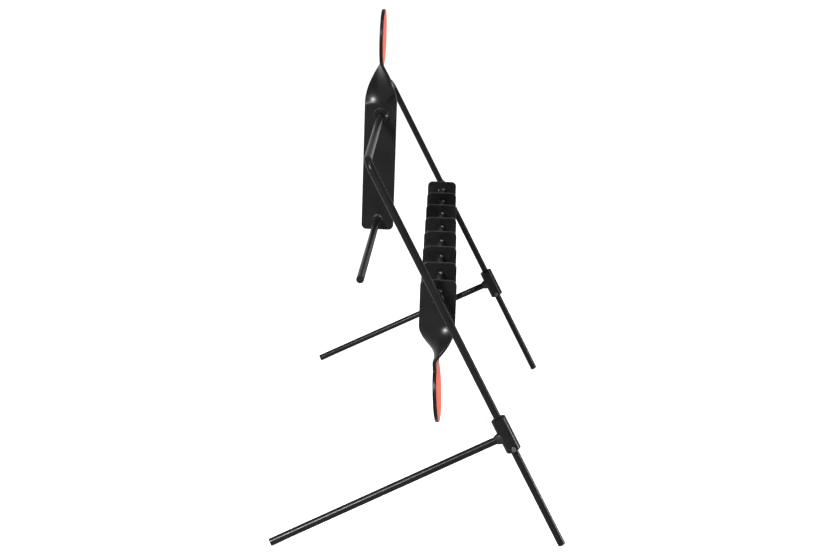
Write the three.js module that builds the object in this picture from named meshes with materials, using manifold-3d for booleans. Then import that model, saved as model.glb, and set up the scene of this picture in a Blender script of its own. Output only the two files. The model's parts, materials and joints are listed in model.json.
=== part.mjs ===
// Self-resetting spinner target rack, built from round steel rod and twisted flat bar.
//
// An upside-down U of rod, the hoop, leans back on two T-shaped feet. A row of paddles hangs on
// an axle across the hoop, and one longer reset paddle stands on the hoop's top rail with a
// crossbar through its lower end. Millimetres, +Z up. +X is the front, the side that the painted
// disc faces look towards. Left is -Y and right is +Y, as seen from the front.

import * as THREE from 'three';
import { mergeVertices } from 'three/addons/utils/BufferGeometryUtils.js';
import Module from 'manifold-3d';

const wasm = await Module();
wasm.setup();

const radians = THREE.MathUtils.degToRad;

// ---------------------------------------------------------------- driving dimensions

const GAP = 0.3; // between faces that touch

// round rod, 3/8 inch, for the hoop, the axle, the crossbar and the feet
const ROD_RADIUS = 9.525 / 2;
const ROD_SIDES = 16;
const BORE_SIDES = ROD_SIDES + 8;

// hoop
const RAIL_HEIGHT = 466;
const LEAN = 28.4; // of the legs, from upright
const HALF_SPAN = 406.4; // from the middle to a leg
const BEND_RADIUS = 14; // centreline, at the two top corners
const BEND_STEPS = 6;

// feet: distances along the leg are counted from the rail's axis
const SLEEVE_RADIUS = 19.05 / 2;
const SLEEVE_BORE_RADIUS = 5.1;
const SLEEVE_LENGTH = 44.45;
const HOOP_INSERTION = 30; // of the hoop's leg into the sleeve
const LEG_END_GAP = 1.5; // between the hoop's leg and the lower leg, inside the sleeve

// The two feet are welded up by hand and differ a little. The strut angle is the one between
// the lower leg and the strut. The splay turns each loose foot outwards about its leg.
const FEET = {
  left: { side: -1, sleeveCentre: 370.8, strutJoint: 372.7, strutAngle: 92.8, splay: 6.8 },
  right: { side: 1, sleeveCentre: 367, strutJoint: 365.4, strutAngle: 91.4, splay: 1.2 },
};

// flat bar, 1-3/4 by 3/16 inch, with its disc
const BAR_WIDTH = 44.45;
const BAR_THICKNESS = 4.7625;
const BAR_CORNER_RADIUS = 7;
const DISC_RADIUS = 76.2 / 2;
const CORNER_STEPS = 4;
const TWIST_STEPS = 12;
const DISC_STEPS = 18;
const DISC_TIP_HALF_ANGLE = 5; // of the short flat that closes the disc's outline

// row of hanging paddles
const PADDLE_COUNT = 8;
const PADDLE_PITCH = 101.6;
const AXLE_DROP = 163.6; // below the rail
const PADDLE_HOLE_RADIUS = 5.3;
const STOP_OFFSET = 20.5; // from a paddle's middle to the stop welds on either side of it
const STOP_TURN = 25; // of the stop welds, from the axle's top towards the front

// distances along a paddle are counted from its pivot, towards the disc
const HANGING = {
  bladeEnd: 13.4,
  twistStart: 40.3,
  twistEnd: 85.8,
  discCentre: 126.8,
  twist: 91,
  discTilt: 2, // of the disc against the blade, its far edge forwards
};
const FIRST_HANGING = { ...HANGING, twist: 94.1, discTilt: 4.2 }; // bent a little further
const RESET = {
  bladeEnd: 160.5,
  twistStart: 12,
  twistEnd: 76,
  discCentre: 107.2,
  twist: -91.8,
  discTilt: 0,
};
const TWIST_EASE = 0.1; // share of the twist's length over which it starts, and again stops

// reset paddle's fittings
const BUSHING_RADIUS = 19.05 / 2;
const BUSHING_BORE_RADIUS = 5.5;
const BUSHING_LENGTH = 25.4;
const CROSSBAR_DROP = 144.9; // below the rail
const CROSSBAR_HALF_LENGTH = 394.4;
const CROSSBAR_SKEW = 0.74; // out of square with the blade, its right end forwards

// weld beads
const WELD_STEPS = 4;
const WELD_HOLLOW = 0.8; // share of a bead's reach that its concave face gives up
const AXLE_WELD = { reach: 2.9, height: 5, wrap: 2.2 };
const STRUT_WELD = { reach: 2.6, height: 6.5, wrap: 2.4 };
const LEG_WELD = { halfWidth: 2.6, halfLength: 3.6, bulge: 1.4, aboveRim: 3.4 };
const STOP_WELD = { halfWidth: 2, halfLength: 2, bulge: 1.7 };
const OVAL_WELD_SIDES = 12;
const BUSHING_WELD = { reach: 2, height: 2, wrap: 0 };
const CROSSBAR_WELD = { reach: 2.6, height: 2.6, wrap: 0 };

// ---------------------------------------------------------------- derived dimensions

const leanAngle = radians(LEAN);
const legLength = (RAIL_HEIGHT - ROD_RADIUS * Math.sin(leanAngle)) / Math.cos(leanAngle);
const hoopLegEnd = ({ sleeveCentre }) => sleeveCentre - SLEEVE_LENGTH / 2 + HOOP_INSERTION;
const axleHeight = RAIL_HEIGHT - AXLE_DROP;
const axleForward = AXLE_DROP * Math.tan(leanAngle);
const axleHalfLength = HALF_SPAN - ROD_RADIUS - GAP;
const halfThickness = BAR_THICKNESS / 2;
const paddleOffset = (index) => (index - (PADDLE_COUNT - 1) / 2) * PADDLE_PITCH;
const SIDES = [['left', -1], ['right', 1]];

// ---------------------------------------------------------------- materials

const coated = (color, roughness) => new THREE.MeshStandardMaterial({ color, roughness, metalness: 0.1 });
const blackCoat = () => coated(0x1b1b1d, 0.42);
const blackWeld = () => coated(0x242426, 0.5);

// ---------------------------------------------------------------- shape helpers

const Y_AXIS = new THREE.Vector3(0, 1, 0);
const Z_AXIS = new THREE.Vector3(0, 0, 1);
const MERGE_DISTANCE = 1e-4;

/** A closed solid skinned over equal rings, each anticlockwise about the way the skin runs. */
function skin(rings) {
  const size = rings[0].length;
  const last = (rings.length - 1) * size;
  const faces = [];
  for (let ring = 0; ring < last; ring += size) {
    for (let corner = 0; corner < size; corner += 1) {
      const here = ring + corner;
      const next = ring + (corner + 1) % size;
      faces.push(here, next, next + size, here, next + size, here + size);
    }
  }
  for (let corner = 1; corner + 1 < size; corner += 1) {
    faces.push(0, corner + 1, corner);
    faces.push(last, last + corner, last + corner + 1);
  }
  const geometry = new THREE.BufferGeometry().setFromPoints(rings.flat());
  geometry.setIndex(faces);
  geometry.computeVertexNormals();
  return geometry;
}

/** A round rod from one point to another. */
function rod(from, to, radius = ROD_RADIUS) {
  const along = to.clone().sub(from);
  const geometry = new THREE.CylinderGeometry(radius, radius, along.length(), ROD_SIDES);
  geometry.applyQuaternion(new THREE.Quaternion().setFromUnitVectors(Y_AXIS, along.normalize()));
  return geometry.translate(...from.clone().lerp(to, 0.5).toArray());
}

/** A round rod centred on the origin, along Y. */
function rodAlongY(halfLength) {
  return new THREE.CylinderGeometry(ROD_RADIUS, ROD_RADIUS, 2 * halfLength, ROD_SIDES);
}

/** A tube centred on the origin, along Y. */
function tube(outer, bore, length) {
  const half = length / 2;
  const wall = [[bore, -half], [outer, -half], [outer, half], [bore, half], [bore, -half]];
  return new THREE.LatheGeometry(wall.map((point) => new THREE.Vector2(...point)), BORE_SIDES);
}

/**
 * A weld bead round a rod along Y: a concave fillet that stands on the plane y = 0 and
 * rises along the rod, and that may wrap past the plane round a curved wall.
 */
function weldBead(radius, { reach, height, wrap }) {
  const inner = radius + GAP;
  const profile = [new THREE.Vector2(inner, -wrap), new THREE.Vector2(inner + reach, -wrap)];
  for (let step = 0; step <= WELD_STEPS; step += 1) {
    const turn = (Math.PI / 2) * (step / WELD_STEPS);
    const out = inner + reach * (1 - Math.sin(turn) * WELD_HOLLOW);
    profile.push(new THREE.Vector2(out, height * (1 - Math.cos(turn)) + GAP));
  }
  profile.push(new THREE.Vector2(inner, height + GAP), profile[0].clone());
  return new THREE.LatheGeometry(profile, ROD_SIDES);
}

/** A manifold solid from a three.js geometry, after an optional placement. */
function solidOf(geometry, placement = new THREE.Matrix4()) {
  const bare = geometry.clone().applyMatrix4(placement);
  bare.deleteAttribute('normal');
  bare.deleteAttribute('uv');
  const merged = mergeVertices(bare, MERGE_DISTANCE);
  return new wasm.Manifold(new wasm.Mesh({
    numProp: 3,
    vertProperties: new Float32Array(merged.attributes.position.array),
    triVerts: new Uint32Array(merged.index.array),
  }));
}

/** A three.js geometry from a manifold solid. */
function geometryOf(solid) {
  const { vertProperties, triVerts } = solid.getMesh();
  const geometry = new THREE.BufferGeometry();
  geometry.setAttribute('position', new THREE.BufferAttribute(vertProperties, 3));
  geometry.setIndex(new THREE.BufferAttribute(triVerts, 1));
  geometry.computeVertexNormals();
  return geometry;
}

function cut(geometry, ...tools) {
  const whole = solidOf(geometry);
  return geometryOf(tools.reduce((left, tool) => left.subtract(solidOf(tool)), whole));
}

/** A round cutter along Y through the origin, moved along X and Z. */
function cutterAlongY(radius, x = 0, z = 0) {
  const length = 4 * BAR_THICKNESS;
  return new THREE.CylinderGeometry(radius, radius, length, BORE_SIDES).translate(x, 0, z);
}

/** An oval weld on top of a round wall that runs along Y through the origin. */
function ovalWeld(wallRadius, { halfWidth, halfLength, bulge }) {
  const blob = new THREE.SphereGeometry(1, OVAL_WELD_SIDES, OVAL_WELD_SIDES);
  blob.scale(halfWidth, halfLength, bulge + halfWidth);
  blob.translate(0, 0, wallRadius - halfWidth);
  return cut(blob, cutterAlongY(wallRadius + GAP));
}

function named(name, geometry, material) {
  const mesh = new THREE.Mesh(geometry, material);
  mesh.name = name;
  return mesh;
}

// ---------------------------------------------------------------- twisted paddles

/** One rectangle of the bar, at a distance along it, turned about the bar's own axis. */
function barSection(distance, halfWidth, turn) {
  const corners = [[1, -1], [1, 1], [-1, 1], [-1, -1]];
  return corners.map(([side, face]) => {
    const corner = new THREE.Vector3(side * halfWidth, face * halfThickness, distance);
    return corner.applyAxisAngle(Z_AXIS, turn);
  });
}

/** The share of the twist done at a share of its length: a steady rate that eases in and out. */
function twistDone(share) {
  const rate = 1 / (1 - TWIST_EASE);
  const easing = (length) => (rate * length * length) / (2 * TWIST_EASE);
  if (share < TWIST_EASE) {
    return easing(share);
  }
  if (share > 1 - TWIST_EASE) {
    return 1 - easing(1 - share);
  }
  return rate * (share - TWIST_EASE / 2);
}

/**
 * A flat bar with rounded corners that twists by about a quarter turn into a disc, as one
 * forging. Its pivot is at the origin, and the disc lies along +Z.
 */
function paddleBlank({ bladeEnd, twistStart, twistEnd, discCentre, twist, discTilt }) {
  const halfWidth = BAR_WIDTH / 2;
  const sections = [];
  for (let step = 0; step <= CORNER_STEPS; step += 1) {
    const turn = (Math.PI / 2) * (step / CORNER_STEPS);
    const distance = -bladeEnd + BAR_CORNER_RADIUS * (1 - Math.cos(turn));
    sections.push(barSection(distance, halfWidth - BAR_CORNER_RADIUS * (1 - Math.sin(turn)), 0));
  }
  for (let step = 0; step <= TWIST_STEPS; step += 1) {
    const share = step / TWIST_STEPS;
    const distance = THREE.MathUtils.lerp(twistStart, twistEnd, share);
    sections.push(barSection(distance, halfWidth, radians(twist) * twistDone(share)));
  }
  const shoulder = Math.asin(halfWidth / DISC_RADIUS);
  const tip = Math.PI - radians(DISC_TIP_HALF_ANGLE);
  const bend = new THREE.Vector3(0, 0, twistEnd);
  const tilted = (point) => point.sub(bend).applyAxisAngle(Y_AXIS, -radians(discTilt)).add(bend);
  for (let step = 0; step <= DISC_STEPS; step += 1) {
    const angle = THREE.MathUtils.lerp(shoulder, tip, step / DISC_STEPS);
    const distance = discCentre - DISC_RADIUS * Math.cos(angle);
    const section = barSection(distance, DISC_RADIUS * Math.sin(angle), radians(twist));
    sections.push(section.map(tilted));
  }
  return skin(sections);
}

function hangingPaddles() {
  const paddles = new THREE.Group();
  const first = cut(paddleBlank(FIRST_HANGING), cutterAlongY(PADDLE_HOLE_RADIUS));
  const other = cut(paddleBlank(HANGING), cutterAlongY(PADDLE_HOLE_RADIUS));
  for (let index = 0; index < PADDLE_COUNT; index += 1) {
    const paddle = named(`paddle_${index + 1}`, index === 0 ? first : other, blackCoat());
    paddle.position.y = paddleOffset(index);
    paddle.rotation.y = Math.PI; // the disc hangs down
    paddles.add(paddle);
  }
  return paddles;
}

function resetPaddle() {
  const paddle = new THREE.Group();
  const blade = cut(
    paddleBlank(RESET),
    cutterAlongY(BUSHING_RADIUS + GAP),
    cutterAlongY(ROD_RADIUS + GAP, 0, -CROSSBAR_DROP),
  );
  const bushing = tube(BUSHING_RADIUS, BUSHING_BORE_RADIUS, BUSHING_LENGTH);
  const crossbar = named('reset_crossbar', rodAlongY(CROSSBAR_HALF_LENGTH), blackCoat());
  crossbar.position.z = -CROSSBAR_DROP;
  crossbar.rotation.z = -radians(CROSSBAR_SKEW);
  paddle.add(
    named('reset_blade', blade, blackCoat()),
    named('reset_bushing', bushing, blackCoat()),
    crossbar,
  );
  for (const [side, sign] of SIDES) {
    const welds = [
      named(`bushing_weld_${side}`, weldBead(BUSHING_RADIUS, BUSHING_WELD), blackWeld()),
      named(`crossbar_weld_${side}`, weldBead(ROD_RADIUS, CROSSBAR_WELD), blackWeld()),
    ];
    for (const weld of welds) {
      weld.position.y = sign * (halfThickness + GAP);
      weld.rotation.z = sign > 0 ? 0 : Math.PI;
    }
    welds[1].position.z = -CROSSBAR_DROP;
    paddle.add(...welds);
  }
  return paddle;
}

// ---------------------------------------------------------------- hoop and axle

/** The point at a distance down a leg from the rail's axis. */
function onLeg(distance, side) {
  const ahead = distance * Math.sin(leanAngle);
  const below = distance * Math.cos(leanAngle);
  return new THREE.Vector3(ahead, side * HALF_SPAN, -below);
}

/** The centreline of the hoop, from the left leg's end over the rail to the right leg's end. */
function hoopPath() {
  const path = [onLeg(hoopLegEnd(FEET.left), FEET.left.side)];
  for (const side of [-1, 1]) {
    const corner = onLeg(0, side);
    const downLeg = onLeg(1, side).sub(corner);
    const alongRail = new THREE.Vector3(0, -side, 0);
    const centre = corner.addScaledVector(downLeg, BEND_RADIUS).addScaledVector(alongRail, BEND_RADIUS);
    for (let step = 0; step <= BEND_STEPS; step += 1) {
      const share = side < 0 ? step / BEND_STEPS : 1 - step / BEND_STEPS;
      const turn = (Math.PI / 2) * share;
      const point = centre.clone().addScaledVector(alongRail, -BEND_RADIUS * Math.cos(turn));
      path.push(point.addScaledVector(downLeg, -BEND_RADIUS * Math.sin(turn)));
    }
  }
  path.push(onLeg(hoopLegEnd(FEET.right), FEET.right.side));
  return path;
}

/** A rod bent along a path that lies in one plane. */
function bentRod(path, planeNormal) {
  const rings = path.map((point, index) => {
    const before = path[Math.max(index - 1, 0)];
    const after = path[Math.min(index + 1, path.length - 1)];
    const forward = after.clone().sub(before).normalize();
    const across = forward.cross(planeNormal);
    const ring = [];
    for (let side = 0; side < ROD_SIDES; side += 1) {
      const angle = (2 * Math.PI * side) / ROD_SIDES;
      ring.push(point.clone()
        .addScaledVector(planeNormal, ROD_RADIUS * Math.cos(angle))
        .addScaledVector(across, ROD_RADIUS * Math.sin(angle)));
    }
    return ring;
  });
  return skin(rings);
}

function hoop() {
  const normal = new THREE.Vector3(Math.cos(leanAngle), 0, Math.sin(leanAngle));
  return named('hoop', bentRod(hoopPath(), normal), blackCoat());
}

function axleAssembly() {
  const axle = new THREE.Group();
  axle.add(named('lower_axle', rodAlongY(axleHalfLength), blackCoat()));

  const stopWeld = ovalWeld(ROD_RADIUS, STOP_WELD).rotateY(radians(STOP_TURN));
  for (let index = 0; index < PADDLE_COUNT; index += 1) {
    for (const [side, sign] of SIDES) {
      const stop = named(`stop_weld_${index + 1}_${side}`, stopWeld, blackWeld());
      stop.position.y = paddleOffset(index) + sign * STOP_OFFSET;
      axle.add(stop);
    }
  }

  const legCutter = rod(onLeg(-AXLE_DROP, 0), onLeg(AXLE_DROP, 0), ROD_RADIUS + GAP);
  for (const [side, sign] of SIDES) {
    const bead = weldBead(ROD_RADIUS, AXLE_WELD);
    bead.rotateZ(sign > 0 ? Math.PI : 0);
    bead.translate(0, sign * (axleHalfLength - HALF_SPAN), 0);
    const weld = named(`axle_weld_${side}`, cut(bead, legCutter), blackWeld());
    weld.position.y = sign * HALF_SPAN;
    axle.add(weld);
  }
  return axle;
}

// ---------------------------------------------------------------- feet

/** The length of a strut, from the leg's axis to the floor. */
function strutLength({ strutJoint, strutAngle, splay }) {
  const slope = Math.asin(
    Math.sin(leanAngle) * Math.sin(radians(strutAngle)) * Math.cos(radians(splay))
    + Math.cos(leanAngle) * Math.cos(radians(strutAngle)),
  );
  const height = RAIL_HEIGHT - strutJoint * Math.cos(leanAngle);
  return (height - ROD_RADIUS * Math.cos(slope)) / Math.sin(slope);
}

/** A foot, in a frame whose Z axis runs up the leg and whose origin is the sleeve's centre. */
function foot(name) {
  const { sleeveCentre, strutJoint, strutAngle } = FEET[name];
  const parts = new THREE.Group();
  const strutWay = new THREE.Vector3(0, 0, -1).applyAxisAngle(Y_AXIS, radians(strutAngle));
  const strutRoot = new THREE.Vector3(0, 0, sleeveCentre - strutJoint);
  const alongStrut = (distance) => strutRoot.clone().addScaledVector(strutWay, distance);
  const sleeveCutter = rod(
    new THREE.Vector3(0, 0, -SLEEVE_LENGTH),
    new THREE.Vector3(0, 0, SLEEVE_LENGTH),
    SLEEVE_RADIUS + GAP,
  );

  const sleeveTube = tube(SLEEVE_RADIUS, SLEEVE_BORE_RADIUS, SLEEVE_LENGTH);
  const sleeve = named(`${name}_sleeve`, sleeveTube, blackCoat());
  sleeve.rotation.x = Math.PI / 2;

  const lowerLegTop = sleeveCentre - hoopLegEnd(FEET[name]) - LEG_END_GAP;
  const lowerLeg = rod(
    new THREE.Vector3(0, 0, sleeveCentre - legLength),
    new THREE.Vector3(0, 0, lowerLegTop),
  );

  const strut = rod(alongStrut(SLEEVE_RADIUS / 2), alongStrut(strutLength(FEET[name])));
  const strutBead = weldBead(ROD_RADIUS, STRUT_WELD);
  strutBead.applyQuaternion(new THREE.Quaternion().setFromUnitVectors(Y_AXIS, strutWay));
  strutBead.translate(...alongStrut(SLEEVE_RADIUS + GAP).toArray());

  const legBead = ovalWeld(SLEEVE_RADIUS, LEG_WELD);
  legBead.rotateX(Math.PI / 2); // onto the sleeve's left side
  legBead.translate(0, 0, LEG_WELD.aboveRim - SLEEVE_LENGTH / 2);

  parts.add(
    sleeve,
    named(`${name}_lower_leg`, lowerLeg, blackCoat()),
    named(`${name}_strut`, cut(strut, sleeveCutter), blackCoat()),
    named(`${name}_leg_weld`, legBead, blackWeld()),
    named(`${name}_strut_weld`, cut(strutBead, sleeveCutter), blackWeld()),
  );
  return parts;
}

// ---------------------------------------------------------------- assembly

const rack = new THREE.Group();

const upperFrame = new THREE.Group();
upperFrame.position.z = RAIL_HEIGHT;
upperFrame.add(hoop(), resetPaddle());
rack.add(upperFrame);

const lowerRow = new THREE.Group();
lowerRow.position.set(axleForward, 0, axleHeight);
lowerRow.add(axleAssembly(), hangingPaddles());
rack.add(lowerRow);

for (const [name, { side, sleeveCentre, splay }] of Object.entries(FEET)) {
  const placed = foot(name);
  placed.position.copy(onLeg(sleeveCentre, side));
  placed.position.z += RAIL_HEIGHT;
  placed.rotation.set(0, -leanAngle, -side * radians(splay), 'YXZ');
  rack.add(placed);
}

// the origin is under the middle of the rack's box, on the floor
rack.updateMatrixWorld(true);
const middle = new THREE.Box3().setFromObject(rack, true).getCenter(new THREE.Vector3());
rack.position.set(-middle.x, -middle.y, 0);

export default rack;
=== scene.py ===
import json
import math

import bmesh
import bpy
from mathutils import Matrix, Vector
from mathutils.geometry import intersect_line_line


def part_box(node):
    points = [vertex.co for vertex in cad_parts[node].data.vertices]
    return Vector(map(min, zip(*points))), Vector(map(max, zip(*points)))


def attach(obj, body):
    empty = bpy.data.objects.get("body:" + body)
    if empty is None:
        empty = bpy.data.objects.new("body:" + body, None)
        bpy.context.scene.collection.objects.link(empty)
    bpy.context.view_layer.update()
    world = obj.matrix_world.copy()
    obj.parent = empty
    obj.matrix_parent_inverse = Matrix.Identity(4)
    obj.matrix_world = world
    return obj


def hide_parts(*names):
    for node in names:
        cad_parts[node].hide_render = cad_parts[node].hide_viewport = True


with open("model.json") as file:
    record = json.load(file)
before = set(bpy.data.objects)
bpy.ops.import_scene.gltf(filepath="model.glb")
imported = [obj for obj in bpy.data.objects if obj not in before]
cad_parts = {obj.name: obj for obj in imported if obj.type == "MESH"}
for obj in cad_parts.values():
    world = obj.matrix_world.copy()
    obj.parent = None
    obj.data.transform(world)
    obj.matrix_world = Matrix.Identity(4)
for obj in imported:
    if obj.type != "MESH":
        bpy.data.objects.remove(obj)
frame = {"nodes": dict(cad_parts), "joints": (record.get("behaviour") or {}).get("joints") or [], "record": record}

# Spinner target rack: a bent-rod hoop on two T-shaped feet, a row of hanging paddles and a
# reset paddle with its crossbar. Metres, +Z up, +X to the front.

# ---------------------------------------------------------------- sizes

MM = 0.001
ROUND_SIDES = 48

BEND_RADIUS = 14 * MM
BEND_STEPS = 14
END_CHAMFER = 0.5 * MM
RIM_ROUNDING = 0.3 * MM
SLEEVE_CHAMFER = 0.8 * MM
STRUT_SINK = 1 * MM

BAR_CORNER_RADIUS = 7 * MM
DISC_RADIUS = 38.1 * MM
NECK_FILLET = 3 * MM
EDGE_ROUNDING = 0.9 * MM
HOLE_CLEARANCE = 0.1 * MM
SLICE_TOLERANCE = 0.001 * MM
ARC_STEPS = 10
DISC_STEPS = 96
TWIST_SLICES = 44
TWIST_COLUMNS = 9
TWIST_EASE = 0.1
HANGING = {
    "blade_end": 13.4 * MM, "twist_start": 40.3 * MM, "twist_end": 85.8 * MM,
    "disc_centre": 126.8 * MM, "twist": 91, "disc_tilt": 2,
}
FIRST_HANGING = dict(HANGING, twist=94.1, disc_tilt=4.2)
RESET = {
    "blade_end": 160.5 * MM, "twist_start": 12 * MM, "twist_end": 76 * MM,
    "disc_centre": 107.2 * MM, "twist": -91.8, "disc_tilt": 0,
}
CROSSBAR_SKEW = 0.74

PAINT_MARGIN = 0.9 * MM
PAINT_THICKNESS = 0.08 * MM
PAINT_LIFT = 0.005 * MM
PAINT_SLOPE = 0.1 * MM

WELD_PROFILE_STEPS = 7
WELD_TURNS = 96
WELD_SINK = 0.3 * MM
OVAL_RINGS = 8
WALL_REACH = 0.93  # how far round a wall a weld follows it, in wall radii
WELD_WANDER = (0.1, 0.06)
RIPPLE_DEPTH, RIPPLE_LEAN = 0.45, 1.2
OVAL_LUMPS = (0.1, 0.05)
WELD_CREASE = 70  # degrees; flatter edges than this are shaded smooth

# reach over the wall, height along the rod, ripples round it, fullness of the face
BUSHING_BEAD = (1.6 * MM, 1.8 * MM, 30, 0.08)
CROSSBAR_BEAD = (2.6 * MM, 2.6 * MM, 20, 0.2)
AXLE_BEAD = (2.7 * MM, 4.6 * MM, 18, 0.08)
STRUT_BEAD = (2.5 * MM, 6 * MM, 16, 0.04)

# half width, half length and height of the oval welds
STOP_TACK = (2 * MM, 2 * MM, 1.7 * MM)
STOP_TURN = 25  # degrees from the axle's top towards the front
LEG_TACK = (2.6 * MM, 3.6 * MM, 1.4 * MM)
LEG_TACK_ABOVE_RIM = 3.4 * MM

FLOOR_SPAN = 60
FLOOR_GLOW = 0.8
WORLD_GLOW = (0.8, 0.26)  # below and above the horizon
HORIZON_FADE = 0.12
LIGHT_AIM_HEIGHT = 0.4
# name, direction, distance, size, power
SOFTBOXES = (
    ("key_near", (-0.35, -0.81, 0.44), 3.2, (0.6, 0.5), 165),
    ("edge_front", (1, -0.04, 0.02), 3, (0.5, 0.5), 50),
    ("soft_top", (0.1, -0.35, 1), 3, (0.8, 0.8), 16),
)
# yaw, pitch and roll in radians, then the place from the rail's middle and above the floor
CAMERA_TURN = (-0.0119, 0.2196, 0.035)
CAMERA_AHEAD, CAMERA_AWAY, CAMERA_HEIGHT = 0.08771, 2.55498, 0.80863
CAMERA_LENS, CAMERA_SENSOR = 80.42, 36  # in millimetres, as Blender counts them
CAMERA_CLIP_END = 200

# ---------------------------------------------------------------- what the frame says

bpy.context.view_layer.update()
joints = {joint["name"]: joint for joint in frame["joints"]}
mounts = {mount["name"]: mount for mount in frame["record"]["mounts"]}


def size_of(node):
    """The three sides of a CAD node's box."""
    low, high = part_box(node)
    return high - low


ROD_RADIUS = size_of("lower_axle").z / 2
BAR_THICKNESS = 4.7625 * MM
BAR_WIDTH = 44.45 * MM
SLEEVE_RADIUS = size_of("left_sleeve").y / 2
SLEEVE_BORE = 5.1 * MM
SLEEVE_LENGTH = 44.45 * MM
HOOP_LEG_BELOW_SLEEVE_CENTRE = 7.775 * MM
BUSHING_RADIUS = size_of("reset_bushing").x / 2
BUSHING_BORE = 5.05 * MM
BUSHING_CHAMFER = 1.5 * MM
PADDLE_HOLE = 5.05 * MM

rail_centre = Vector(joints["reset_spin"]["pos_m"])
leg_up = Vector(joints["left_foot_swivel"]["axis"]).normalized()
half_span = joints["right_foot_swivel"]["pos_m"][1] - rail_centre.y

X_AXIS, Y_AXIS, Z_AXIS = Vector((1, 0, 0)), Vector((0, 1, 0)), Vector((0, 0, 1))
SIDES = (("left", -1), ("right", 1))

# ---------------------------------------------------------------- materials


def node_material(name):
    """A new material, its node tree and its Principled shader."""
    material = bpy.data.materials.new(name)
    material.use_nodes = True
    tree = material.node_tree
    return material, tree, tree.nodes["Principled BSDF"]


def noise(tree, scale, detail=3.0, roughness=0.55):
    """A noise texture on the object's own coordinates; scale is in cycles per metre."""
    place = tree.nodes.new("ShaderNodeTexCoord")
    texture = tree.nodes.new("ShaderNodeTexNoise")
    texture.inputs["Scale"].default_value = scale
    texture.inputs["Detail"].default_value = detail
    texture.inputs["Roughness"].default_value = roughness
    tree.links.new(place.outputs["Object"], texture.inputs["Vector"])
    return texture.outputs["Fac"]


def ramp(tree, factor, low, high, start=0.3, end=0.7):
    """A colour ramp between two colours or two grey values."""
    node = tree.nodes.new("ShaderNodeValToRGB")
    stops = node.color_ramp.elements
    for stop, value, position in ((stops[0], low, start), (stops[1], high, end)):
        stop.position = position
        stop.color = (*value, 1) if hasattr(value, "__len__") else (value, value, value, 1)
    tree.links.new(factor, node.inputs["Fac"])
    return node.outputs["Color"]


def bump(tree, height, strength, distance, normal=None):
    """A bump from a height, on top of another bump's normal where one is given."""
    node = tree.nodes.new("ShaderNodeBump")
    node.inputs["Strength"].default_value = strength
    node.inputs["Distance"].default_value = distance
    tree.links.new(height, node.inputs["Height"])
    if normal is not None:
        tree.links.new(normal, node.inputs["Normal"])
    return node.outputs["Normal"]


def powder_coat(name, dark, light, rough, gloss, peel):
    """Satin black powder coat: faint mottling, orange peel and a soft uneven sheen."""
    material, tree, shader = node_material(name)
    cloud = noise(tree, 34)
    grey = ramp(tree, cloud, (dark, dark, dark * 1.04), (light, light, light * 1.04))
    tree.links.new(grey, shader.inputs["Base Color"])
    satin = noise(tree, 150, detail=4)
    tree.links.new(ramp(tree, satin, rough[0], rough[1]), shader.inputs["Roughness"])
    shader.inputs["Specular IOR Level"].default_value = gloss
    skin = bump(tree, noise(tree, 620, detail=1.5), peel, 0.12 * MM)
    grit = bump(tree, noise(tree, 2600, detail=1.0), peel * 0.45, 0.04 * MM, skin)
    tree.links.new(grit, shader.inputs["Normal"])
    return material


def orange_paint_and_glow():
    """Matte fluorescent orange, sprayed a little unevenly over the black, with a faint painted glow that stands in
    for fill light.
    """
    material, tree, shader = node_material("orange_face_paint")
    cloud = noise(tree, 55, detail=5)
    colour = ramp(tree, cloud, (0.66, 0.095, 0.045), (0.8, 0.145, 0.085))
    tree.links.new(colour, shader.inputs["Base Color"])
    tree.links.new(ramp(tree, noise(tree, 260), 0.5, 0.66), shader.inputs["Roughness"])
    shader.inputs["Specular IOR Level"].default_value = 0.3
    # painted light: a faint orange glow from the paint itself stands in for fill light on the disc faces
    shader.inputs["Emission Color"].default_value = (1.0, 0.16, 0.09, 1)
    shader.inputs["Emission Strength"].default_value = 0.15
    tree.links.new(bump(tree, noise(tree, 1500), 0.12, 0.05 * MM), shader.inputs["Normal"])
    return material


BLACK = powder_coat("black_powder_coat", 0.0045, 0.0075, (0.23, 0.33), 0.17, 0.06)
# painted highlight: the weld beads' coat is a little lighter than the black, so the beads show the light spots
# that highlights give them
WELD = powder_coat("weld_bead", 0.008, 0.014, (0.32, 0.44), 0.25, 0.16)
# painted highlight: the tacks' coat is much lighter than the black, so the tacks show as the bright dots and ovals
# that highlights give them
TACK = powder_coat("weld_tack", 0.04, 0.07, (0.3, 0.42), 0.5, 0.2)
ORANGE = orange_paint_and_glow()

# ---------------------------------------------------------------- mesh helpers


def add_piece(name, mesh, material, body, stands_for=(), sharp=40):
    """A finished piece that rides on a CAD body and stands for CAD nodes."""
    piece = bpy.data.objects.new(name, mesh)
    bpy.context.scene.collection.objects.link(piece)
    mesh.materials.append(material)
    mesh.polygons.foreach_set("use_smooth", [True] * len(mesh.polygons))
    mesh.set_sharp_from_angle(angle=math.radians(sharp))
    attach(piece, body)
    if stands_for:
        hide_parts(*stands_for)
    return piece


def add_steel(name, mesh, body, node):
    """A black rod or tube that stands for one CAD node."""
    return add_piece(name, mesh, BLACK, body, [node])


def add_bead(name, mesh, material, body, node):
    """A weld that stands for one CAD node."""
    return add_piece(name, mesh, material, body, [node], sharp=WELD_CREASE)


def mesh_from(name, points, faces):
    """A mesh with its faces turned outwards."""
    mesh = bpy.data.meshes.new(name)
    mesh.from_pydata([tuple(point) for point in points], [], faces)
    work = bmesh.new()
    work.from_mesh(mesh)
    bmesh.ops.recalc_face_normals(work, faces=work.faces)
    work.to_mesh(mesh)
    work.free()
    return mesh


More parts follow.
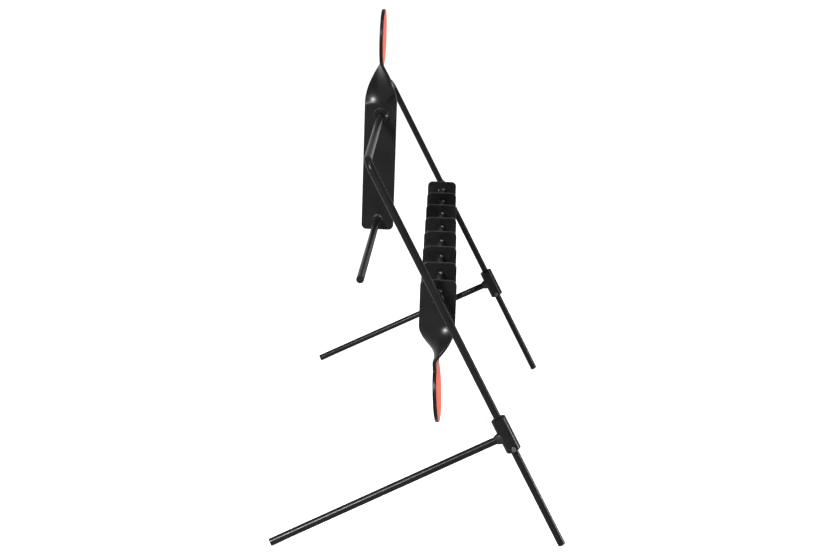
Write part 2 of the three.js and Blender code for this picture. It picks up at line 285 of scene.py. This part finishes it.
def skin(name, rings, closed=False):
    """A mesh over rings of equally many points, capped at both ends or closed on itself."""
    size = len(rings[0])
    count = len(rings)
    points = [point for ring in rings for point in ring]
    faces = []
    for ring in range(count if closed else count - 1):
        after = (ring + 1) % count
        for corner in range(size):
            beside = (corner + 1) % size
            here, there = ring * size, after * size
            faces.append((here + corner, here + beside, there + beside, there + corner))
    if not closed:
        faces.append(tuple(range(size - 1, -1, -1)))
        faces.append(tuple(range((count - 1) * size, count * size)))
    return mesh_from(name, points, faces)


def across(axis):
    """Two unit vectors square to an axis and to each other."""
    guide = Z_AXIS if abs(axis.z) < 0.9 else X_AXIS
    first = axis.cross(guide).normalized()
    return first, axis.cross(first).normalized()


def circle(centre, axis, radius, sides=ROUND_SIDES):
    """A ring of points round an axis."""
    first, second = across(axis)
    turns = [2 * math.pi * side / sides for side in range(sides)]
    ways = [math.cos(turn) * first + math.sin(turn) * second for turn in turns]
    return [centre + radius * way for way in ways]


def circle_in(centre, axis, normal, radius):
    """A ring whose first point lies along a given normal, so that rings along a bend match up."""
    sideways = axis.cross(normal).normalized()
    turns = [2 * math.pi * side / ROUND_SIDES for side in range(ROUND_SIDES)]
    ways = [math.cos(turn) * normal + math.sin(turn) * sideways for turn in turns]
    return [centre + radius * way for way in ways]


def rod_mesh(name, start, end):
    """A straight piece of the round rod with a small chamfer on both ends."""
    along = (end - start).normalized()
    rings = [
        circle(start, along, ROD_RADIUS - END_CHAMFER),
        circle(start + along * END_CHAMFER, along, ROD_RADIUS),
        circle(end - along * END_CHAMFER, along, ROD_RADIUS),
        circle(end, along, ROD_RADIUS - END_CHAMFER),
    ]
    return skin(name, rings)


def tube_mesh(name, centre, axis, length, outer, bore, chamfer):
    """An open tube with chamfered rims inside and out."""
    half = length / 2
    rim = RIM_ROUNDING
    wall = [
        (outer, -half + chamfer), (outer, half - chamfer), (outer - chamfer, half),
        (bore + rim, half), (bore, half - rim),
        (bore, -half + rim), (bore + rim, -half), (outer - chamfer, -half),
    ]
    rings = [circle(centre + axis * place, axis, radius) for radius, place in wall]
    return skin(name, rings, closed=True)


def weld_mesh(name, root, away, rod_radius, bead, wall=None, wall_axis=None):
    """
    A rippled fillet weld round a rod that leaves a wall. root is where the rod's axis meets the
    wall's surface, or the wall's own axis where wall gives the radius of a round wall.
    """
    first, second = across(away)
    lean = 0
    if wall:
        second = away.cross(wall_axis).normalized()
        first = second.cross(away)
        lean = away.dot(wall_axis)

    def surface(along, sideways):
        if not wall:
            return 0.0
        reachable = min(abs(sideways), WALL_REACH * wall)
        return (math.sqrt(wall**2 - reachable**2) + along * lean) / math.sqrt(1 - lean**2)

    reach, height, ripples, belly = bead
    columns = []
    for turn_index in range(WELD_TURNS):
        turn = 2 * math.pi * turn_index / WELD_TURNS
        outwards = math.cos(turn) * first + math.sin(turn) * second

        def point(radius, lift):
            base = surface(radius * math.cos(turn), radius * math.sin(turn))
            return root + radius * outwards + (base + lift) * away

        slow, quick = WELD_WANDER
        wander = 1 + slow * math.sin(3 * turn + rod_radius * 1e4) + quick * math.sin(7 * turn)
        column = []
        for step in range(WELD_PROFILE_STEPS + 1):
            share = step / WELD_PROFILE_STEPS
            ripple = 1 + RIPPLE_DEPTH * abs(math.sin(ripples * turn / 2 + RIPPLE_LEAN * share))
            bulge = belly * reach * math.sin(math.pi * share) * ripple
            out = rod_radius + reach * wander * (1 - share) + bulge
            column.append(point(out, height * wander * share + bulge))
        column.append(point(rod_radius - WELD_SINK, height * wander))
        column.append(point(rod_radius - WELD_SINK, -WELD_SINK))
        column.append(point(rod_radius + reach * wander, -WELD_SINK))
        columns.append(column)
    return skin(name, columns, closed=True)


def oval_weld_mesh(name, place, axis, out, wall, half_width, half_length, bulge):
    """A lumpy oval weld on a round wall. place is on the wall's own axis, under the weld."""
    side = axis.cross(out)
    slow, quick = OVAL_LUMPS
    rings = []
    for step in range(OVAL_RINGS + 1):
        spread = math.cos(math.pi / 2 * step / (OVAL_RINGS + 0.5))
        ring = []
        for turn_index in range(ROUND_SIDES):
            turn = 2 * math.pi * turn_index / ROUND_SIDES
            lump = 1 + slow * math.sin(2 * turn + 0.7) * spread
            lump += quick * math.sin(5 * turn) * spread
            lift = bulge * math.sqrt(1 - spread**2) * lump - (WELD_SINK if step == 0 else 0)
            swing = spread * half_width * math.cos(turn) * lump / wall
            direction = out * math.cos(swing) + side * math.sin(swing)
            under = place + axis * spread * half_length * math.sin(turn)
            ring.append(under + (wall + lift) * direction)
        rings.append(ring)
    return skin(name, rings)


# ---------------------------------------------------------------- twisted paddles


def arc(centre, radius, start, end, steps):
    """Points on an arc in the blank's own plane, angles in degrees."""
    angles = [math.radians(start + (end - start) * step / steps) for step in range(steps + 1)]
    x, y = centre
    return [(x + radius * math.cos(angle), y + radius * math.sin(angle)) for angle in angles]


def blank_outline(shape):
    """The outline of the flat blank: a bar with rounded corners, filleted into its disc."""
    half = BAR_WIDTH / 2
    foot = -shape["blade_end"]
    corner = (half - BAR_CORNER_RADIUS, foot + BAR_CORNER_RADIUS)
    centre = shape["disc_centre"]
    fillet_side = half + NECK_FILLET
    fillet_drop = math.sqrt((DISC_RADIUS + NECK_FILLET) ** 2 - fillet_side**2)
    meeting = math.degrees(math.atan2(-fillet_drop, fillet_side))
    right = arc(corner, BAR_CORNER_RADIUS, -90, 0, ARC_STEPS)
    right += arc((fillet_side, centre - fillet_drop), NECK_FILLET, 180, 180 + meeting, ARC_STEPS)
    right += arc((0, centre), DISC_RADIUS, meeting, 90, DISC_STEPS)[1:]
    left = [(-x, y) for x, y in reversed(right[:-1])]
    return right + left


def evaluated_mesh(holder):
    """The mesh an object ends up with after its modifiers. The object itself is removed."""
    bpy.context.scene.collection.objects.link(holder)
    bpy.context.view_layer.update()
    result = holder.evaluated_get(bpy.context.evaluated_depsgraph_get())
    mesh = bpy.data.meshes.new_from_object(result)
    bpy.data.objects.remove(holder)
    return mesh


def without(mesh, cutter_mesh):
    """A mesh with another one cut out of it."""
    cutter = bpy.data.objects.new("cutter", cutter_mesh)
    bpy.context.scene.collection.objects.link(cutter)
    holder = bpy.data.objects.new("holder", mesh)
    cut = holder.modifiers.new("cut", "BOOLEAN")
    cut.operation = "DIFFERENCE"
    cut.solver = "EXACT"
    cut.object = cutter
    result = evaluated_mesh(holder)
    bpy.data.objects.remove(cutter)
    return result


def flat_blank(name, shape):
    """The blank as a solid plate with rounded edges, in X across, Y through and Z along."""
    curve = bpy.data.curves.new(name, "CURVE")
    curve.dimensions = "2D"
    curve.fill_mode = "BOTH"
    curve.extrude = BAR_THICKNESS / 2 - EDGE_ROUNDING
    curve.bevel_depth = EDGE_ROUNDING
    curve.bevel_resolution = 3
    curve.offset = -EDGE_ROUNDING
    outline = blank_outline(shape)
    spline = curve.splines.new("POLY")
    spline.points.add(len(outline) - 1)
    spline.use_cyclic_u = True
    for point, (x, y) in zip(spline.points, outline):
        point.co = (x, y, 0, 1)
    plate = evaluated_mesh(bpy.data.objects.new(name, curve))
    for centre, radius in shape["holes"]:
        middle = Vector((*centre, 0))
        reach = Z_AXIS * BAR_THICKNESS
        ends = [circle(middle + way, Z_AXIS, radius) for way in (-reach, reach)]
        plate = without(plate, skin("cutter", ends))
    plate.transform(Matrix.Rotation(math.radians(90), 4, "X"))
    return plate


def twist_done(share):
    """The share of the twist done at a share of its length: a steady rate that eases in and out."""
    share = min(max(share, 0), 1)
    rate = 1 / (1 - TWIST_EASE)
    if share < TWIST_EASE:
        return rate * share**2 / (2 * TWIST_EASE)
    if share > 1 - TWIST_EASE:
        return 1 - rate * (1 - share) ** 2 / (2 * TWIST_EASE)
    return rate * (share - TWIST_EASE / 2)


def twisted(mesh, shape):
    """Cuts the blank into slices where it twists, and turns each slice about the bar's axis."""
    work = bmesh.new()
    work.from_mesh(mesh)
    bmesh.ops.remove_doubles(work, verts=work.verts, dist=SLICE_TOLERANCE)

    def slice_at(point, normal):
        parts = work.verts[:] + work.edges[:] + work.faces[:]
        cut = {"plane_co": point, "plane_no": normal, "dist": SLICE_TOLERANCE}
        bmesh.ops.bisect_plane(work, geom=parts, **cut)

    start, end = shape["twist_start"], shape["twist_end"]
    for index in range(TWIST_SLICES + 1):
        slice_at(Z_AXIS * (start + (end - start) * index / TWIST_SLICES), Z_AXIS)
    for index in range(1, TWIST_COLUMNS):
        slice_at(X_AXIS * BAR_WIDTH * (index / TWIST_COLUMNS - 0.5), X_AXIS)
    tilt = Matrix.Rotation(math.radians(-shape["disc_tilt"]), 3, "Y")
    for vertex in work.verts:
        beyond = vertex.co.z > end + 0.01 * MM
        turn = math.radians(shape["twist"]) * twist_done((vertex.co.z - start) / (end - start))
        vertex.co.rotate(Matrix.Rotation(turn, 3, "Z"))
        if beyond:
            vertex.co = tilt @ (vertex.co - Z_AXIS * end) + Z_AXIS * end
    bmesh.ops.recalc_face_normals(work, faces=work.faces)
    work.to_mesh(mesh)
    work.free()
    return mesh


def add_paddle(name, shape, placement, body, stands_for):
    """A paddle's plate, twisted from its flat blank and placed on its body."""
    mesh = twisted(flat_blank(name, shape), shape)
    mesh.transform(placement)
    plate = add_piece(name, mesh, BLACK, body, [stands_for], sharp=50)
    weighted = plate.modifiers.new("even_faces", "WEIGHTED_NORMAL")
    weighted.weight = 100
    weighted.keep_sharp = True
    return plate


def add_paint(name, mount, body):
    """A thin coat of paint on a disc's front face, as round as the disc inside its edge."""
    normal = Vector(mount["axis"]).normalized()
    centre = Vector(mount["pos_m"])
    radius = DISC_RADIUS - PAINT_MARGIN
    layers = [(radius, PAINT_LIFT), (radius - PAINT_SLOPE, PAINT_THICKNESS)]
    rings = [circle(centre + normal * lift, normal, size, DISC_STEPS) for size, lift in layers]
    add_piece(name, skin(name, rings), ORANGE, body, sharp=60)


def build_hanging_paddles():
    """The row of paddles on the lower axle, each hanging disc down."""
    for name in [node for node in frame["nodes"] if node.startswith("paddle_")]:
        joint = joints[f"{name}_swing"]
        bent = FIRST_HANGING if name == "paddle_1" else HANGING
        shape = dict(bent, holes=[((0, 0), PADDLE_HOLE)])
        placement = Matrix.Translation(joint["pos_m"]) @ Matrix.Rotation(math.pi, 4, "Y")
        add_paddle(f"{name}_plate", shape, placement, joint["child"], name)
        add_paint(f"{name}_paint", mounts[f"{name}_disc_face"], joint["child"])


def build_reset_paddle():
    """The upright paddle on the top rail, with its bushing, crossbar and welds."""
    bar_low, bar_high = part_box("reset_crossbar")
    bar_height = (bar_low.z + bar_high.z) / 2
    bar_drop = rail_centre.z - bar_height
    bushing_hole = ((0, 0), BUSHING_RADIUS + HOLE_CLEARANCE)
    bar_hole = ((0, -bar_drop), ROD_RADIUS + HOLE_CLEARANCE)
    shape = dict(RESET, holes=[bushing_hole, bar_hole])
    body = "reset_paddle"
    add_paddle("reset_blade_plate", shape, Matrix.Translation(rail_centre), body, "reset_blade")
    add_paint("reset_disc_paint", mounts["reset_disc_face"], body)

    length = size_of("reset_bushing").y
    sizes = (length, BUSHING_RADIUS, BUSHING_BORE, BUSHING_CHAMFER)
    bushing = tube_mesh("reset_bushing_tube", rail_centre, Y_AXIS, *sizes)
    add_steel("reset_bushing_tube", bushing, body, "reset_bushing")

    bar_middle = (bar_low + bar_high) / 2
    skew = math.radians(CROSSBAR_SKEW)
    bar_way = Vector((math.sin(skew), math.cos(skew), 0))
    half_length = (bar_high.y - bar_low.y) / 2
    ends = [bar_middle - bar_way * half_length, bar_middle + bar_way * half_length]
    bar = rod_mesh("crossbar", *ends)
    add_steel("reset_crossbar_rod", bar, body, "reset_crossbar")

    for side, sign in SIDES:
        face = Vector((0, sign * BAR_THICKNESS / 2, 0))
        out = Y_AXIS * sign
        bead = weld_mesh("bushing_weld", rail_centre + face, out, BUSHING_RADIUS, BUSHING_BEAD)
        add_bead(f"bushing_bead_{side}", bead, WELD, body, f"bushing_weld_{side}")
        bead = weld_mesh("crossbar_weld", bar_middle + face, out, ROD_RADIUS, CROSSBAR_BEAD)
        add_bead(f"crossbar_bead_{side}", bead, WELD, body, f"crossbar_weld_{side}")


# ---------------------------------------------------------------- hoop and axle


def on_leg(distance, sign):
    """The point at a distance down a leg from the rail's axis."""
    return rail_centre + Y_AXIS * sign * half_span - leg_up * distance


def build_hoop():
    """The hoop in one sweep: up the left leg, along the rail and down the right leg."""
    leg_ends = {}
    for side, sign in SIDES:
        sleeve_drop = rail_centre.z - joints[f"{side}_foot_swivel"]["pos_m"][2]
        leg_ends[sign] = sleeve_drop / leg_up.z + HOOP_LEG_BELOW_SLEEVE_CENTRE
    normal = leg_up.cross(Y_AXIS)
    rings = [circle_in(on_leg(leg_ends[-1], -1), leg_up, normal, ROD_RADIUS - END_CHAMFER)]
    rings.append(circle_in(on_leg(leg_ends[-1] - END_CHAMFER, -1), leg_up, normal, ROD_RADIUS))
    for sign in (-1, 1):
        inwards = -sign * Y_AXIS
        centre = on_leg(BEND_RADIUS, sign) + inwards * BEND_RADIUS
        for step in range(BEND_STEPS + 1):
            share = step / BEND_STEPS if sign < 0 else 1 - step / BEND_STEPS
            turn = math.pi / 2 * share
            across_bend = inwards * BEND_RADIUS * math.cos(turn)
            point = centre - across_bend + leg_up * BEND_RADIUS * math.sin(turn)
            forward = leg_up * math.cos(turn) + inwards * math.sin(turn)
            rings.append(circle_in(point, forward * -sign, normal, ROD_RADIUS))
    rings.append(circle_in(on_leg(leg_ends[1] - END_CHAMFER, 1), -leg_up, normal, ROD_RADIUS))
    rings.append(circle_in(on_leg(leg_ends[1], 1), -leg_up, normal, ROD_RADIUS - END_CHAMFER))
    add_steel("hoop_rod", skin("hoop", rings), "frame", "hoop")


def build_axle():
    """The lower axle with its welds to the legs and the stop welds beside the paddles."""
    low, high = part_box("lower_axle")
    middle = (low + high) / 2
    ends = [Vector((middle.x, y, middle.z)) for y in (low.y, high.y)]
    add_steel("lower_axle_rod", rod_mesh("axle", *ends), "frame", "lower_axle")
    stop_way = Matrix.Rotation(math.radians(STOP_TURN), 3, "Y") @ Z_AXIS
    for name in [node for node in frame["nodes"] if node.startswith("stop_weld_")]:
        weld_low, weld_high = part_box(name)
        place = Vector((middle.x, (weld_low.y + weld_high.y) / 2, middle.z))
        tack = oval_weld_mesh(name, place, Y_AXIS, stop_way, ROD_RADIUS, *STOP_TACK)
        add_bead(f"{name}_tack", tack, TACK, "frame", name)
    for side, sign in SIDES:
        root = middle + Y_AXIS * sign * half_span
        away = -sign * Y_AXIS
        bead = weld_mesh("axle_weld", root, away, ROD_RADIUS, AXLE_BEAD, ROD_RADIUS, leg_up)
        add_bead(f"axle_bead_{side}", bead, WELD, "frame", f"axle_weld_{side}")


# ---------------------------------------------------------------- feet


def build_foot(side):
    """A foot: the sleeve on the leg, the lower leg and the strut, with their welds."""
    body = f"{side}_foot"
    centre = Vector(joints[f"{side}_foot_swivel"]["pos_m"])
    sizes = (SLEEVE_LENGTH, SLEEVE_RADIUS, SLEEVE_BORE, SLEEVE_CHAMFER)
    sleeve = tube_mesh("sleeve", centre, leg_up, *sizes)
    add_steel(f"{side}_sleeve_tube", sleeve, body, f"{side}_sleeve")

    leg_end = Vector(mounts[f"{side}_leg_end"]["pos_m"])
    _, leg_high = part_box(f"{side}_lower_leg")
    rim_rise = ROD_RADIUS * math.sqrt(1 - leg_up.z**2)
    leg_top = leg_end + leg_up * ((leg_high.z - rim_rise - leg_end.z) / leg_up.z)
    leg = rod_mesh("lower_leg", leg_end, leg_top)
    add_steel(f"{side}_lower_leg_rod", leg, body, f"{side}_lower_leg")

    strut_mount = mounts[f"{side}_strut_end"]
    strut_way = Vector(strut_mount["axis"]).normalized()
    strut_end = Vector(strut_mount["pos_m"])
    root, _ = intersect_line_line(centre, centre + leg_up, strut_end, strut_end + strut_way)
    strut = rod_mesh("strut", root + strut_way * (SLEEVE_RADIUS - STRUT_SINK), strut_end)
    add_steel(f"{side}_strut_rod", strut, body, f"{side}_strut")
    bead = weld_mesh("strut_weld", root, strut_way, ROD_RADIUS, STRUT_BEAD, SLEEVE_RADIUS, leg_up)
    add_bead(f"{side}_strut_bead", bead, WELD, body, f"{side}_strut_weld")

    place = centre - leg_up * (SLEEVE_LENGTH / 2 - LEG_TACK_ABOVE_RIM)
    leftwards = leg_up.cross(strut_way).normalized()
    tack = oval_weld_mesh("leg_weld", place, leg_up, leftwards, SLEEVE_RADIUS, *LEG_TACK)
    add_bead(f"{side}_leg_tack", tack, TACK, body, f"{side}_leg_weld")


# ---------------------------------------------------------------- studio


def build_floor():
    """A pale, evenly lit floor, wide enough to fill the picture."""
    half = FLOOR_SPAN / 2
    corners = [(-half, -half, 0), (half, -half, 0), (half, half, 0), (-half, half, 0)]
    floor = bpy.data.objects.new("floor", mesh_from("floor", corners, [(0, 1, 2, 3)]))
    bpy.context.scene.collection.objects.link(floor)
    material, tree, shader = node_material("pale_floor")
    paper = ramp(tree, noise(tree, 2), (0.88, 0.88, 0.88), (0.9, 0.9, 0.9))
    tree.links.new(paper, shader.inputs["Base Color"])
    shader.inputs["Roughness"].default_value = 0.9
    shader.inputs["Specular IOR Level"].default_value = 0.1
    shader.inputs["Emission Color"].default_value = (1, 1, 1, 1)
    shader.inputs["Emission Strength"].default_value = FLOOR_GLOW
    floor.data.materials.append(material)
    floor.visible_glossy = False
    floor.visible_diffuse = False


def add_softbox(name, direction, distance, size, power):
    """A soft rectangular light that shines on the rack's middle from a direction."""
    light = bpy.data.lights.new(name, "AREA")
    light.shape = "RECTANGLE"
    light.size, light.size_y = size
    light.energy = power
    holder = bpy.data.objects.new(name, light)
    bpy.context.scene.collection.objects.link(holder)
    towards = Vector(direction).normalized()
    holder.location = Z_AXIS * LIGHT_AIM_HEIGHT + towards * distance
    holder.rotation_euler = towards.to_track_quat("Z", "Y").to_euler()


def build_lights():
    """A world that is brighter below the horizon, and the softboxes."""
    world = bpy.data.worlds.new("studio")
    world.use_nodes = True
    tree = world.node_tree
    place = tree.nodes.new("ShaderNodeTexCoord")
    split = tree.nodes.new("ShaderNodeSeparateXYZ")
    tree.links.new(place.outputs["Generated"], split.inputs["Vector"])
    below, above = WORLD_GLOW
    shade = ramp(tree, split.outputs["Z"], below, above, 0, HORIZON_FADE)
    tree.links.new(shade, tree.nodes["Background"].inputs["Color"])
    bpy.context.scene.world = world
    for softbox in SOFTBOXES:
        add_softbox(*softbox)


def build_camera():
    """A view along the row from its left end, a little above it, through a long lens."""
    yaw, pitch, roll = CAMERA_TURN
    flat = math.cos(pitch)
    forward = Vector((math.sin(yaw) * flat, math.cos(yaw) * flat, -math.sin(pitch)))
    level = Vector((math.cos(yaw), -math.sin(yaw), 0))
    above = level.cross(forward)
    right = level * math.cos(roll) + above * math.sin(roll)
    up = above * math.cos(roll) - level * math.sin(roll)
    camera = bpy.data.objects.new("camera", bpy.data.cameras.new("camera"))
    bpy.context.scene.collection.objects.link(camera)
    place = Matrix((right, up, -forward)).transposed().to_4x4()
    place.translation = (rail_centre.x + CAMERA_AHEAD, rail_centre.y - CAMERA_AWAY, CAMERA_HEIGHT)
    camera.matrix_world = place
    camera.data.lens = CAMERA_LENS
    camera.data.sensor_width = CAMERA_SENSOR
    camera.data.clip_end = CAMERA_CLIP_END
    bpy.context.scene.camera = camera


build_hoop()
build_axle()
build_hanging_paddles()
build_reset_paddle()
for foot_side, _ in SIDES:
    build_foot(foot_side)
build_floor()
build_lights()
build_camera()
bpy.context.scene.view_settings.view_transform = "Standard"
